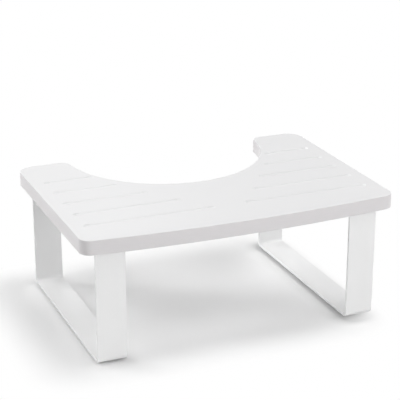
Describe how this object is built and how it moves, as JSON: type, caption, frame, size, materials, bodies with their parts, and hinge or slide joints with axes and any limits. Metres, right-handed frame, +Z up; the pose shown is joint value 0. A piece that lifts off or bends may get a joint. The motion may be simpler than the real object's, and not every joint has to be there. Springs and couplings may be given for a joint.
{
  "type": "toilet footstool",
  "caption": "Low white footstool with a bowed front, a curved cut-out at the back to fit round a toilet, anti-slip grooves and closed flat-bar leg loops.",
  "frame": {"origin": "on the floor, under the middle of the footboard's bounding box", "axes": "+X to the right seen from the bowed front, -Y towards the bowed front, +Y towards the edge with the cut-out, +Z up"},
  "size_m": [0.44, 0.31, 0.18],
  "materials": {
    "white_lacquer": "satin white lacquer on fibreboard",
    "white_powder_coat": "fine satin white powder coat on flat steel bar",
    "zinc_plate": "bright zinc plate",
    "insert_brass": "turned brass",
    "grey_rubber": "matt grey rubber"
  },
  "bodies": {
    "root": {"footboard": "white_lacquer", "left_leg_loop": "white_powder_coat", "right_leg_loop": "white_powder_coat", "left_bolt_front": "zinc_plate", "left_bolt_front_middle": "zinc_plate", "left_bolt_rear_middle": "zinc_plate", "left_bolt_rear": "zinc_plate", "right_bolt_front": "zinc_plate", "right_bolt_front_middle": "zinc_plate", "right_bolt_rear_middle": "zinc_plate", "right_bolt_rear": "zinc_plate", "left_washer_front": "zinc_plate", "left_washer_front_middle": "zinc_plate", "left_washer_rear_middle": "zinc_plate", "left_washer_rear": "zinc_plate", "right_washer_front": "zinc_plate", "right_washer_front_middle": "zinc_plate", "right_washer_rear_middle": "zinc_plate", "right_washer_rear": "zinc_plate", "left_insert_front": "insert_brass", "left_insert_front_middle": "insert_brass", "left_insert_rear_middle": "insert_brass", "left_insert_rear": "insert_brass", "right_insert_front": "insert_brass", "right_insert_front_middle": "insert_brass", "right_insert_rear_middle": "insert_brass", "right_insert_rear": "insert_brass", "left_pad_front": "grey_rubber", "left_pad_rear": "grey_rubber", "right_pad_front": "grey_rubber", "right_pad_rear": "grey_rubber"}
  },
  "joints": []
}
